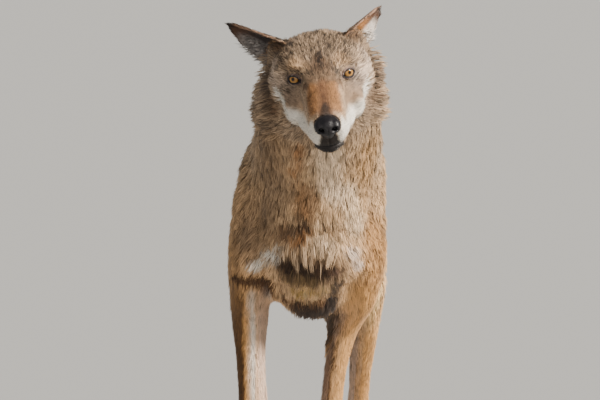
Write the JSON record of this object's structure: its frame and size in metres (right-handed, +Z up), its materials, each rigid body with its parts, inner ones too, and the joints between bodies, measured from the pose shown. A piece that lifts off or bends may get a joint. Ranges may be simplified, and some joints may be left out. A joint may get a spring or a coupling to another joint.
{
  "type": "grey wolf life-size model",
  "caption": "Life-size still model of a grey wolf in short summer coat, walking and looking straight ahead, head a little lowered.",
  "frame": {"origin": "on the floor, under the middle of the wolf's box", "axes": "+Z up, -Y where the nose points, +X the wolf's left side"},
  "size_m": [0.2518, 1.2454, 0.8197],
  "materials": {
    "coat_grey": "grizzled short fur",
    "coat_tan": "short tan fur",
    "nose_leather": "bare black skin, slightly moist",
    "eye_amber": "wet amber eye",
    "claw_horn": "dark horn"
  },
  "bodies": {
    "root": {"ear_left": "coat_grey", "ear_right": "coat_grey", "eye_left": "eye_amber", "eye_right": "eye_amber", "foreleg_left_claw_1": "claw_horn", "foreleg_left_claw_2": "claw_horn", "foreleg_left_claw_3": "claw_horn", "foreleg_left_claw_4": "claw_horn", "foreleg_left_claw_5": "claw_horn", "foreleg_left_forearm": "coat_tan", "foreleg_left_paw": "coat_tan", "foreleg_left_shoulder": "coat_grey", "foreleg_right_claw_1": "claw_horn", "foreleg_right_claw_2": "claw_horn", "foreleg_right_claw_3": "claw_horn", "foreleg_right_claw_4": "claw_horn", "foreleg_right_claw_5": "claw_horn", "foreleg_right_forearm": "coat_tan", "foreleg_right_paw": "coat_tan", "foreleg_right_shoulder": "coat_grey", "head": "coat_grey", "hindleg_left_claw_1": "claw_horn", "hindleg_left_claw_2": "claw_horn", "hindleg_left_claw_3": "claw_horn", "hindleg_left_claw_4": "claw_horn", "hindleg_left_foot": "coat_tan", "hindleg_left_shank": "coat_tan", "hindleg_left_thigh": "coat_grey", "hindleg_right_claw_1": "claw_horn", "hindleg_right_claw_2": "claw_horn", "hindleg_right_claw_3": "claw_horn", "hindleg_right_claw_4": "claw_horn", "hindleg_right_foot": "coat_tan", "hindleg_right_shank": "coat_tan", "hindleg_right_thigh": "coat_grey", "neck": "coat_grey", "nose": "nose_leather", "tail": "coat_grey", "trunk": "coat_grey"}
  },
  "joints": []
}
